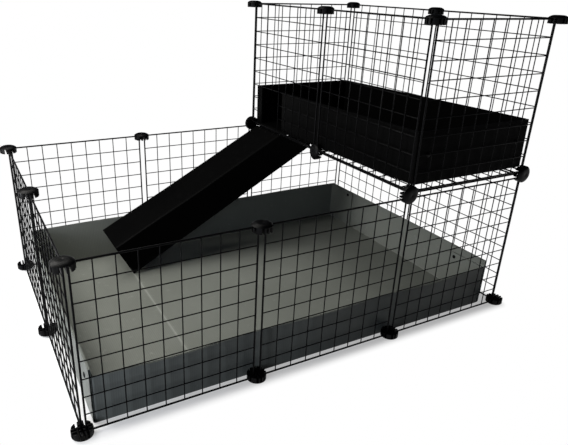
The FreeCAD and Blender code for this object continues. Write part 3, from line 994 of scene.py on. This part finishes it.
@dataclass
class FoldedTray:
    """A box folded from one fluted sheet. Its flutes run across its own X axis and up its long walls.

    Its own frame has X along it, Y across it and Z up, from the corner where its front and left walls meet.
    """

    node: str
    body: str
    slot: str
    turned_left: bool            # whether its own X axis lies along the cage's Y axis
    front_height: float          # of its front wall
    flap: float                  # length of a corner flap
    bow_front: float             # how far its walls bow out between the posts
    bow_back: float
    bow_ends: float
    tilt: float = 0.0            # degrees by which its left end stands higher than its right
    post_pitch: float = 367.0    # between the posts that its long walls lean on
    painted_highlight_at: float | None = None  # distance from its left end of a painted highlight along a scored line, drawn as a pale line with no groove
    doorway: Pair | None = None  # where the back wall is cut out, along the tray
    sheet: float = 4.0           # thickness
    gap: float = 0.3             # between a flap and the end wall
    fold_radius: float = 4.6
    bow_power: float = 1.4       # power of its height that a wall's bow grows with
    wall_ripple: float = 0.5     # unevenness of the long walls and of the ends
    end_ripple: float = 0.4
    corner_rest: float = 12.0    # length of a long wall at its corners that stays straight
    corner_ease: float = 30.0    # and the length over which it comes to its full bow
    end_ease: float = 10.0       # height over which an end does
    flute_stop: float = 1.0      # height over the floor at which an end's open flutes stop
    wall_root: float = 0.1       # how far a long wall reaches into the floor
    wall_rows: int = 8           # rows of faces up a long wall
    floor_rows: int = 24         # and across the floor
    axes: Array = field(init=False)      # the own frame's axes, origin and the tray's size in it
    origin: Array = field(init=False)
    size: Array = field(init=False)

    def __post_init__(self) -> None:
        """Reads the tray's place and size from its node.

        A tilted tray's box is longer by its height times the tilt's sine, and higher by its length
        times that.
        """
        low, high = (np.array(corner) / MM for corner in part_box(self.node))
        spread = high - low
        along, across, up = np.eye(3)
        near = low.copy()
        if self.turned_left:
            along, across = across, -along
            near[0] = high[0]
        run, rise = spread @ np.abs(along), spread[2]
        sine, cosine = math.sin(math.radians(self.tilt)), math.cos(math.radians(self.tilt))
        scale = cosine ** 2 - sine ** 2
        length = (run * cosine - rise * sine) / scale
        height = (rise * cosine - run * sine) / scale
        self.axes = np.stack([along * cosine - up * sine, across, along * sine + up * cosine])
        self.origin = near + up * length * sine
        self.size = np.array([length, spread @ np.abs(across), height])

    def lobes(self, x: Array) -> Array:
        """How the long walls lean on the posts: a squared sine that is 0 at each end and at the posts.

        Args:
            x: Places along the tray.

        Returns:
            Shares from 0 to 1.
        """
        spans = max(1, round(self.size[0] / self.post_pitch))
        return np.sin(np.pi * np.clip(x / self.size[0], 0, 1) * spans) ** 2

    def ripple(self, a: Array, b: Array) -> Array:
        """A slow unevenness of a springy sheet: three sine waves of unrelated lengths, within 1.

        The numbers under the places are millimetres in a radian of each wave.

        Args:
            a: Places along one way.
            b: Places along the other.

        Returns:
            The unevenness.
        """
        return (np.sin(a / 61 + b / 87) + np.sin(a / 37 - b / 53 + 1.7) + np.sin(a / 143 + 0.6)) / 3

    def bow_wall(self, way: float, bow: float, height: float) -> Warp:
        """The way that a long wall bows: out between the posts, more towards its top edge.

        Args:
            way: -1 at the front and 1 at the back.
            bow: How far it bows.
            height: Height of the wall.

        Returns:
            The function that moves its points.
        """
        def warp(s: Array, v: Array, points: Array) -> Array:
            """Moves points of the wall, but not of its flaps.

            Args:
                s: Lengths along the bent line.
                v: Heights.
                points: The points to move.

            Returns:
                The moved points.
            """
            x = points[..., 0]
            rise = np.clip(v / height, 0, 1)
            from_end = np.minimum(x, self.size[0] - x)
            on_wall = np.clip((from_end - self.corner_rest) / self.corner_ease, 0, 1)
            bowed = bow * self.lobes(x) * rise ** self.bow_power
            uneven = self.wall_ripple * self.ripple(x, v) * rise
            moved = points.copy()
            moved[..., 1] += way * (bowed + uneven) * on_wall
            return moved
        return warp

    def bow_end(self, s: Array, v: Array, points: Array) -> Array:
        """The way that the floor and the ends move: the ends bow out a little between their corners.

        Args:
            s: Lengths along the bent line.
            v: Places across the tray.
            points: The points to move.

        Returns:
            The moved points.
        """
        rise = np.clip(points[..., 2] / self.size[2], 0, 1)
        share = np.clip(v / self.size[1], 0, 1)
        swell = np.sin(np.pi * share) ** 2
        side = np.where(points[..., 0] < self.size[0] / 2, -1.0, 1.0)
        wall = np.clip((points[..., 2] - self.sheet) / self.end_ease, 0, 1)
        uneven = self.end_ripple * self.ripple(v, points[..., 2])
        moved = points.copy()
        moved[..., 0] += side * wall * swell * (self.bow_ends * rise ** self.bow_power + uneven)
        return moved

    def floor_and_ends(self) -> list[Shell]:
        """The floor and the two end walls: a U carried across the tray.

        Returns:
            The shells.
        """
        length, width, height = self.size
        corners = np.array([[0.0, height], [0.0, 0.0], [length, 0.0], [length, height]])
        line, folds = bent_line(corners, self.fold_radius)
        # a scored line gets no groove: its painted highlight is a pale line given with the folds
        if self.painted_highlight_at is not None:
            folds.append(height + self.painted_highlight_at - FOLD_SAVING * self.fold_radius)
        axes = np.array([[1.0, 0.0, 0.0], [0.0, 0.0, 1.0], [0.0, 1.0, 0.0]])
        sheet = FoldedSheet(line, self.sheet, axes, self.bow_end, folds=tuple(folds))
        wall = height - self.sheet - self.flute_stop
        depth = sheet.rib_depth
        parts = [sheet.block((0.0, sheet.length), np.linspace(depth, width - depth, self.floor_rows + 1))]
        for edge, start in ((0.0, depth), (width, width - depth)):
            parts.append(sheet.block((wall, sheet.length - wall), np.array([edge, start])))
            parts += sheet.open_edge((0.0, wall), edge, start)
            parts += sheet.open_edge((sheet.length - wall, sheet.length), edge, start)
        return parts

    def long_wall(self, back: bool) -> list[Shell]:
        """A long wall with a flap folded round each end: a U carried up from the floor.

        Args:
            back: Whether it is the wall at the back.

        Returns:
            The shells.
        """
        length, width, height = self.size
        inner = self.sheet + self.gap
        base, tip = (width, width - self.flap) if back else (0.0, self.flap)
        top = height if back else self.front_height
        corners = np.array([[inner, tip], [inner, base], [length - inner, base], [length - inner, tip]])
        line, folds = bent_line(corners, self.fold_radius)
        way = 1.0 if back else -1.0
        bow = self.bow_back if back else self.bow_front
        sheet = FoldedSheet(line, self.sheet, np.eye(3), self.bow_wall(way, bow, top), -way, tuple(folds))
        runs = [(0.0, sheet.length)]
        if back and self.doorway is not None:
            lead = self.flap - inner - FOLD_SAVING * self.fold_radius
            runs = [(0.0, lead + self.doorway[0]), (lead + self.doorway[1], sheet.length)]
        heights = (self.sheet - self.wall_root, top)
        return [part for run in runs for part in sheet.panel(run, heights, (False, True), self.wall_rows)]

    def build(self, material: bpy.types.Material) -> None:
        """Makes the tray where its node is.

        Args:
            material: The sheet's finish.
        """
        shells = self.floor_and_ends() + self.long_wall(False) + self.long_wall(True)
        tray = joined(shells).moved(self.axes, self.origin)
        put(self.node + "_sheet", tray, material, self.body, self.slot, self.node)


@dataclass
class Ramp:
    """The board that slopes up to the loft, with its long sides folded down, and the ties that hold it.

    Its own frame has one axis down along the slope, one up from the board and one across to the back,
    from the wire that it hangs on.
    """

    hinge: Pair = (191.5, 367.0)   # X and Z of the wire that it hangs on
    slope: float = 27.8          # degrees below level
    length: float = 586.0        # from the hinge wire's centre to the board's lower edge
    top_gap: float = 5.0         # from the hinge wire's centre to the board's upper edge
    sheet: float = 4.0
    floor: float = 4.8           # height of the sides' lowest corners
    side_depth: float = 93.0     # depth of the sides at the hinge wire
    side_reach: float = 108.0    # how far the sides run on under the shelf
    side_level: float = 362.0    # height of the sides' upper edge there
    side_rows: int = 40          # rows of points on a side along the board
    reach_rows: int = 11         # and under the shelf
    side_columns: int = 9
    edge_width: float = 1.5      # of the pale line along a side's cut edge
    edge_paleness: float = 0.25
    fold_radius: float = 4.6
    fold_width: float = 1.6      # of the pale line along a fold
    fold_paleness: float = 0.5
    lip: float = 0.4             # straight run of the board's sheet past its folds
    board_rows: int = 24
    dip: float = 2.0             # how far the board sags in the middle of its length
    still: float = 40.0          # length at each end that doesn't sag
    ripple: float = 0.5          # unevenness of the sag
    ripple_runs: Pair = (41.0, 33.0)   # millimetres in a radian of it, along and across
    tie_width: float = 2.5
    tie_inner: float = 2.3       # inner radius of its round ends
    tie_thickness: float = 1.2
    tie_reach: float = 14.0      # between the centres of its round ends
    tie_steps: int = 10          # steps in each round end
    tie_sides: int = 12
    tie_squareness: float = 0.45   # power of the section's cosine and sine: 1 is round, 0 is square
    tie_places: tuple[float, ...] = (222.5, 261.5, 300.5)   # Y of each tie
    axes: Array = field(init=False)      # the own frame's axes and origin
    origin: Array = field(init=False)
    front: float = field(init=False)     # Y of its two sides' outer faces
    back: float = field(init=False)
    heel: float = field(init=False)      # height of the sides' lowest corners in the own frame

    def __post_init__(self) -> None:
        """Works out the ramp's axes, its width and the depth of its sides at the lower end."""
        a = math.radians(self.slope)
        down = np.array([-math.cos(a), 0.0, -math.sin(a)])
        up = np.array([-math.sin(a), 0.0, math.cos(a)])
        self.axes = np.stack([np.array([0.0, 1.0, 0.0]), up, down])
        self.origin = np.array([self.hinge[0], 0.0, self.hinge[1]])
        low, high = (np.array(corner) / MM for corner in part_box("ramp"))
        self.front, self.back = low[1], high[1]
        end = self.origin + down * self.length + up * self.sheet / 2
        self.heel = self.sheet / 2 - (end[2] - self.floor) / math.cos(a)

    def sag(self, s: Array, v: Array, points: Array) -> Array:
        """Lets the board dip by a squared sine between its ends, and ripple slightly.

        Args:
            s: Places across the ramp.
            v: Places along it.
            points: The points to move, in the ramp's own frame.

        Returns:
            The moved points.
        """
        share = np.clip((v - self.still) / (self.length - 2 * self.still), 0, 1)
        uneven = self.ripple * np.sin(v / self.ripple_runs[0] + s / self.ripple_runs[1])
        moved = points.copy()
        moved[..., 1] -= np.sin(np.pi * share) ** 2 * (self.dip + uneven)
        return moved

    def board(self) -> list[Shell]:
        """The board with the two folds: a flat-topped line carried down along the slope.

        Returns:
            The shells, with open flutes at both ends.
        """
        half = self.sheet / 2
        low = half - (self.fold_radius + self.lip)
        corners = np.array([[self.front, low], [self.front, half], [self.back, half], [self.back, low]])
        line, folds = bent_line(corners, self.fold_radius)
        sheet = FoldedSheet(line, self.sheet, np.eye(3), self.sag, -1.0, tuple(folds),
                            self.fold_width, self.fold_paleness)
        return sheet.panel((0.0, sheet.length), (self.top_gap, self.length), (True, True), self.board_rows)

    def side(self, face: float, inward: float) -> Shell:
        """A folded-down side: a slab between the fold and an edge that drops to the tray's floor.

        Its grid runs along the slope and from the upper edge to the lower one. Past the hinge wire the
        upper edge is level, under the shelf's wires, and the end is upright: its places are drawn out from
        the hinge to where the upper and the lower edge meet that end.

        Args:
            face: Place of its outer face across the ramp.
            inward: 1 if the sheet lies towards the back of that face, -1 if towards the front.

        Returns:
            The side as a closed slab.
        """
        a = math.radians(self.slope)
        first = self.sheet / 2 - self.side_depth
        fall = (self.heel - first) / self.length
        drop = self.hinge[1] - self.side_level
        upper = drop * math.sin(a) - self.side_reach * math.cos(a)
        lower = -(self.side_reach + first * math.sin(a)) / (math.cos(a) + fall * math.sin(a))
        under_shelf = np.linspace(1, 0, self.reach_rows + 1)[:-1]
        past, share, depth = np.meshgrid(
            np.concatenate([under_shelf, np.zeros(self.side_rows)]),
            np.linspace(0, 1, self.side_columns), np.array([0.0, self.sheet]), indexing="ij")
        on_board = np.linspace(self.top_gap, self.length, self.side_rows)
        board = np.concatenate([np.zeros(self.reach_rows), on_board])[:, None, None]
        end = upper + (lower - upper) * share
        place = np.where(past > 0, self.top_gap + (end - self.top_gap) * past, board)
        top = np.where(place < self.top_gap, (place * math.sin(a) - drop) / math.cos(a),
                       self.sheet / 2 - self.fold_radius - self.lip)
        bottom = first + fall * place
        up = top * (1 - share) + bottom * share
        points = np.stack([face + inward * depth, up, place], -1)
        sagging = self.sag(np.full_like(place, face), place, points)
        points = sagging * (1 - share[..., None]) + points * share[..., None]
        index = np.arange(points[..., 0].size).reshape(points.shape[:3])
        pale = self.edge_paleness * np.exp(-((up - bottom) / self.edge_width) ** 2)
        marks = {"across": up.ravel() * MM, "along": place.ravel() * MM, "fold": pale.ravel()}
        return Shell(points.reshape(-1, 3), slab_faces(index), marks=marks)

    def ties(self) -> Shell:
        """The ties: a rounded flat section carried round a long loop, once for each place.

        The section's two coordinates are powers of a cosine and a sine, with their signs kept.

        Returns:
            All the ties.
        """
        middle = self.tie_inner + self.tie_thickness / 2
        near_end = arc((0.0, 0.0), middle, 90, 270, self.tie_steps)
        far_end = arc((self.tie_reach, 0.0), middle, -90, 90, self.tie_steps)
        loop = np.concatenate([near_end, far_end])
        tangent = np.roll(loop, -1, 0) - np.roll(loop, 1, 0)
        tangent /= np.linalg.norm(tangent, axis=1, keepdims=True)
        out = np.column_stack([tangent[:, 1], -tangent[:, 0]])
        turn = np.linspace(0, 2 * np.pi, self.tie_sides, endpoint=False)
        thick, wide = (np.abs(k) ** self.tie_squareness * np.sign(k) for k in (np.cos(turn), np.sin(turn)))
        flat = loop[:, None] + out[:, None] * (thick * self.tie_thickness / 2)[None, :, None]
        across = np.broadcast_to(wide * self.tie_width / 2, flat.shape[:2])
        ring = skin(np.stack([across, flat[..., 1], flat[..., 0]], -1), True)
        origins = [self.origin + np.array([0.0, y, 0.0]) for y in self.tie_places]
        return joined([ring.moved(self.axes, origin) for origin in origins])

    def build(self, sheet: bpy.types.Material, nylon: bpy.types.Material) -> None:
        """Makes the ramp and its ties.

        Args:
            sheet: The ramp's finish.
            nylon: The ties' finish.
        """
        shells = self.board() + [self.side(self.front, 1.0), self.side(self.back, -1.0)]
        shells = [shell.moved(self.axes, self.origin) for shell in shells]
        put("ramp_sheet", joined(shells), sheet, "ramp", "loft_sheet", "ramp")
        put("ramp_tie_loops", self.ties(), nylon, "ramp", "tie", "ramp_ties")


class Along(Enum):
    """The cage's axis that a tray's rivets lie along."""

    X = 0
    Y = 1


@dataclass
class PushRivets:
    """The black rivets that pin the trays' corner flaps to their walls."""

    head: float = 6.0            # radius of the outer head
    tail: float = 5.0            # radius of the inner head
    shank: float = 3.0           # radius
    rise: float = 2.5            # of each head over the sheet
    brim: float = 0.5            # straight part of that rise
    slant: float = 0.05          # of a head's under side, or of the tail's
    grip: float = 8.3            # wall, gap and flap
    dish: tuple[Pair, ...] = ((0.1, 0.9), (1.2, 0.8), (1.9, 0.15))   # radius and depth in the outer head
    head_turn: Pair = (80.0, 0.0)   # degrees on the dome, from its middle to its brim
    head_rings: int = 7
    tail_turn: Pair = (0.0, 85.0)
    tail_rings: int = 6
    segments: int = 28

    def rivet(self) -> Shell:
        """One rivet turned about its axis: a domed head with a dished middle, a shank and a domed tail.

        A dome's radius goes with the cosine of its turn, and its height over the brim with the sine.

        Returns:
            The rivet, from its outer head at minus its rise to its tail.
        """
        bulge = self.rise - self.brim
        a = np.radians(np.linspace(*self.head_turn, self.head_rings))
        dome = np.column_stack([self.head * np.cos(a), -self.brim - bulge * np.sin(a)])
        dish = np.array(self.dish) - np.array([0.0, self.rise])
        under = np.array([[self.head, -self.slant], [self.shank, 0.0], [self.shank, self.grip],
                          [self.tail, self.grip + self.slant]])
        b = np.radians(np.linspace(*self.tail_turn, self.tail_rings))
        tail = np.column_stack([self.tail * np.cos(b), self.grip + self.brim + bulge * np.sin(b)])
        return turned(np.concatenate([dish, dome, under, tail]), self.segments)

    def build(self, node: str, body: str, material: bpy.types.Material, along: Along) -> None:
        """Makes the rivets of one tray where its node's solids are.

        Args:
            node: The node of that tray's rivets.
            body: The body that they move with.
            material: Their finish.
            along: The cage's axis that they lie along.
        """
        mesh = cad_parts[node].data
        points = np.empty(len(mesh.vertices) * 3, np.float32)
        mesh.vertices.foreach_get("co", points)
        points = points.reshape(-1, 3).astype(float) / MM
        middle = (points.max(0) + points.min(0)) / 2
        far, right = along.value, 1 - along.value
        groups = (points > middle)[:, [far, right]] @ np.array([1, 2])   # one number for each corner
        rivet = self.rivet()
        shells = []
        for group in np.unique(groups):
            here = points[groups == group]
            centre = (here.max(0) + here.min(0)) / 2
            inward = np.zeros(3)
            inward[far] = -np.sign(centre[far] - middle[far])
            axes = np.stack([Z_AXIS, np.cross(inward, Z_AXIS), inward])
            shells.append(rivet.moved(axes, centre - inward * self.grip / 2))
        put(node + "_moulding", joined(shells), material, body, "rivet", node)


@dataclass(frozen=True)
class Lamp:
    """A square soft lamp that looks at a point. Its places and its size are in metres."""

    name: str
    place: Place
    target: Place                # the point that it looks at
    size: float                  # length of its side
    watts: float
    colour: str

    def hang(self) -> None:
        """Puts the lamp into the scene."""
        light = bpy.data.lights.new(self.name, "AREA")
        light.shape = "SQUARE"
        light.size = self.size
        light.energy = self.watts
        light.color = linear(self.colour)[:3]
        lamp = bpy.data.objects.new(self.name, light)
        lamp.location = self.place
        lamp.rotation_euler = (Vector(self.target) - Vector(self.place)).to_track_quat("-Z", "Y").to_euler()
        bpy.context.scene.collection.objects.link(lamp)


@dataclass
class Studio:
    """The white floor and surround, the four soft lamps and the camera. Lengths are in metres."""

    floor_size: float = 30.0
    floor_colour: str = "#f4f4f4"
    bounce_colour: str = "#26262a"   # of the light that the floor sends back to the cage
    footprint: Pair = (0.552, 0.368)   # half the length and width of the floor under the cage
    fade: float = 0.035          # past the footprint, over which the floor turns to plain white
    under_white: float = 0.4     # share of plain white in the floor under the cage
    ambient: str = "#d3dfff"
    ambient_strength: float = 0.03
    lamps: tuple[Lamp, ...] = (
        Lamp("overhead_lamp", (-0.4, 0.7, 1.9), (-0.3, 0.0, 0.1), 1.0, 13.0, "#fffdf7"),
        Lamp("left_lamp", (-0.9, 0.16, 0.95), (-0.5, 0.0, 0.0), 0.6, 13.0, "#fffdf8"),
        Lamp("low_lamp", (-1.2, 0.2, 0.26), (-0.5, 0.0, 0.06), 0.3, 7.0, "#f6f9ff"),
        Lamp("front_lamp", (-1.0, -0.8, 0.3), (-0.45, -0.34, 0.05), 0.3, 3.0, "#e6efff"),
    )
    eye: Place = (-0.6677, -1.2083, 0.7771)
    yaw: float = 28.62           # degrees
    pitch: float = 23.37
    roll: float = -1.69
    focal_px: float = 558.5      # focal length and centre of view, in pixels of the picture
    centre_px: Pair = (250.63, 226.05)
    sensor: float = 36.0         # width, in millimetres
    clip: Pair = (0.01, 100.0)

    def floor(self) -> None:
        """A white floor that keeps the cage's shadow near it and goes to plain white further off.

        The camera, and glossy and clear surfaces, see the white, while the light that the floor sends
        back to the cage is that of a dark floor.
        """
        half = self.floor_size / 2
        mesh = bpy.data.meshes.new("studio_floor")
        corners = [(-half, -half, 0), (half, -half, 0), (half, half, 0), (-half, half, 0)]
        mesh.from_pydata(corners, [], [(0, 1, 2, 3)])
        mesh.update()
        material, tree = empty_material("matt_white_floor")
        place = add_node(tree, "ShaderNodeTexCoord", {}).outputs["Object"]
        apart = add_node(tree, "ShaderNodeVectorMath", {0: place}, operation="ABSOLUTE").outputs[0]
        past = add_node(tree, "ShaderNodeVectorMath", {
            0: apart, 1: (*self.footprint, 0.0)}, operation="SUBTRACT").outputs[0]
        past = add_node(tree, "ShaderNodeVectorMath", {
            0: past, 1: (0.0, 0.0, 0.0)}, operation="MAXIMUM").outputs[0]
        far = add_node(tree, "ShaderNodeVectorMath", {0: past}, operation="LENGTH").outputs["Value"]
        share = add_node(tree, "ShaderNodeMapRange", {
            "Value": far, "From Min": 0.0, "From Max": self.fade,
            "To Min": self.under_white, "To Max": 1.0}, interpolation_type="SMOOTHSTEP").outputs[0]
        path = add_node(tree, "ShaderNodeLightPath", {})
        seen = add_node(tree, "ShaderNodeMath", {
            0: path.outputs["Is Camera Ray"], 1: path.outputs["Is Glossy Ray"],
        }, operation="MAXIMUM").outputs[0]
        seen = add_node(tree, "ShaderNodeMath", {
            0: seen, 1: path.outputs["Is Transmission Ray"]}, operation="MAXIMUM").outputs[0]
        white = add_node(tree, "ShaderNodeBsdfDiffuse", {"Color": linear(self.floor_colour)}).outputs[0]
        dark = add_node(tree, "ShaderNodeBsdfDiffuse", {"Color": linear(self.bounce_colour)}).outputs[0]
        glow = add_node(tree, "ShaderNodeEmission", {"Color": linear(WHITE), "Strength": 1.0}).outputs[0]
        shown = add_node(tree, "ShaderNodeMixShader", {0: share, 1: white, 2: glow}).outputs[0]
        both = add_node(tree, "ShaderNodeMixShader", {0: seen, 1: dark, 2: shown}).outputs[0]
        add_node(tree, "ShaderNodeOutputMaterial", {"Surface": both})
        mesh.materials.append(material)
        floor = bpy.data.objects.new("studio_floor", mesh)
        bpy.context.scene.collection.objects.link(floor)

    def world(self) -> None:
        """A white surround for the camera, and a dimmer cool light from all round for the cage."""
        world = bpy.data.worlds.new("studio_surround")
        bpy.context.scene.world = world
        world.use_nodes = True
        tree = world.node_tree
        tree.nodes.clear()
        path = add_node(tree, "ShaderNodeLightPath", {})
        white = add_node(tree, "ShaderNodeBackground", {"Color": linear(WHITE), "Strength": 1.0}).outputs[0]
        cool = add_node(tree, "ShaderNodeBackground", {
            "Color": linear(self.ambient), "Strength": self.ambient_strength}).outputs[0]
        both = add_node(tree, "ShaderNodeMixShader", {
            0: path.outputs["Is Camera Ray"], 1: cool, 2: white}).outputs[0]
        add_node(tree, "ShaderNodeOutputWorld", {"Surface": both})

    def camera(self) -> None:
        """A camera at the picture's viewpoint, turned by its yaw, pitch and roll."""
        yaw, pitch, roll = (math.radians(a) for a in (self.yaw, self.pitch, self.roll))
        level = math.cos(pitch)
        forward = Vector((math.sin(yaw) * level, math.cos(yaw) * level, -math.sin(pitch)))
        right = Vector((math.cos(yaw), -math.sin(yaw), 0.0))
        below = forward.cross(right)
        across = right * math.cos(roll) + below * math.sin(roll)
        down = below * math.cos(roll) - right * math.sin(roll)
        turn = Matrix((across, -down, -forward)).transposed()
        data = bpy.data.cameras.new("camera")
        data.sensor_width = self.sensor
        data.lens = self.focal_px * self.sensor / IMAGE_WIDTH
        data.shift_x = (IMAGE_WIDTH / 2 - self.centre_px[0]) / IMAGE_WIDTH
        data.shift_y = (self.centre_px[1] - IMAGE_HEIGHT / 2) / IMAGE_WIDTH
        data.clip_start, data.clip_end = self.clip
        camera = bpy.data.objects.new("camera", data)
        camera.matrix_world = Matrix.Translation(self.eye) @ turn.to_4x4()
        bpy.context.scene.collection.objects.link(camera)
        bpy.context.scene.camera = camera

    def build(self) -> None:
        """Sets up the whole studio."""
        bpy.context.scene.view_settings.view_transform = "Standard"
        self.floor()
        self.world()
        for lamp in self.lamps:
            lamp.hang()
        self.camera()


GREY_SHEET = FlutedSheet(
    name="extruded_grey_twin_wall_polypropylene", colour="#7b7e78", web="#6c6f6a", pale="#a5a8a2",
    cloud="#737670", roughness=(0.34, 0.55), specular=0.15)
BLACK_SHEET = FlutedSheet(
    name="extruded_black_twin_wall_polypropylene", colour="#040404", web="#020202", pale="#161616",
    cloud="#050505", roughness=(0.45, 0.65), specular=0.02)
CONNECTOR_PLASTIC = MouldedPlastic(
    name="moulded_black_polypropylene", colour="#030304", scuffed="#0f0f10",
    grain_mm=0.9, grain_depth_mm=0.04, scuff_mm=9.0, roughness=(0.36, 0.52))
FIXING_PLASTIC = MouldedPlastic(
    name="moulded_black_nylon", colour="#070707", scuffed="#181819",
    grain_mm=0.7, grain_depth_mm=0.03, scuff_mm=5.0, roughness=(0.38, 0.52))


def main() -> None:
    """Builds every sub-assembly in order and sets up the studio."""
    logging.basicConfig(level=logging.INFO, format="%(message)s")
    wire = CoatedWire().material()
    connector = CONNECTOR_PLASTIC.material()
    grey = GREY_SHEET.material()
    black = BLACK_SHEET.material()
    nylon = FIXING_PLASTIC.material()
    WirePanels().build(wire)
    PushConnectors().build(connector)
    base_tray = FoldedTray(
        node="base_tray", body="base_tray", slot="base_sheet", turned_left=False, front_height=106.0,
        flap=120.0, bow_front=7.0, bow_back=4.0, bow_ends=3.0, painted_highlight_at=246.0)
    loft_tray = FoldedTray(
        node="loft_tray", body="loft_tray", slot="loft_sheet", turned_left=True, front_height=118.0,
        flap=60.0, bow_front=1.5, bow_back=1.5, bow_ends=1.5, tilt=1.21, doorway=(561.8, 684.8))
    base_tray.build(grey)
    loft_tray.build(black)
    Ramp().build(black, nylon)
    rivets = PushRivets()
    rivets.build("base_tray_rivets", "base_tray", nylon, Along.X)
    rivets.build("loft_tray_rivets", "loft_tray", nylon, Along.Y)
    Studio().build()


if __name__ == "__main__":
    main()
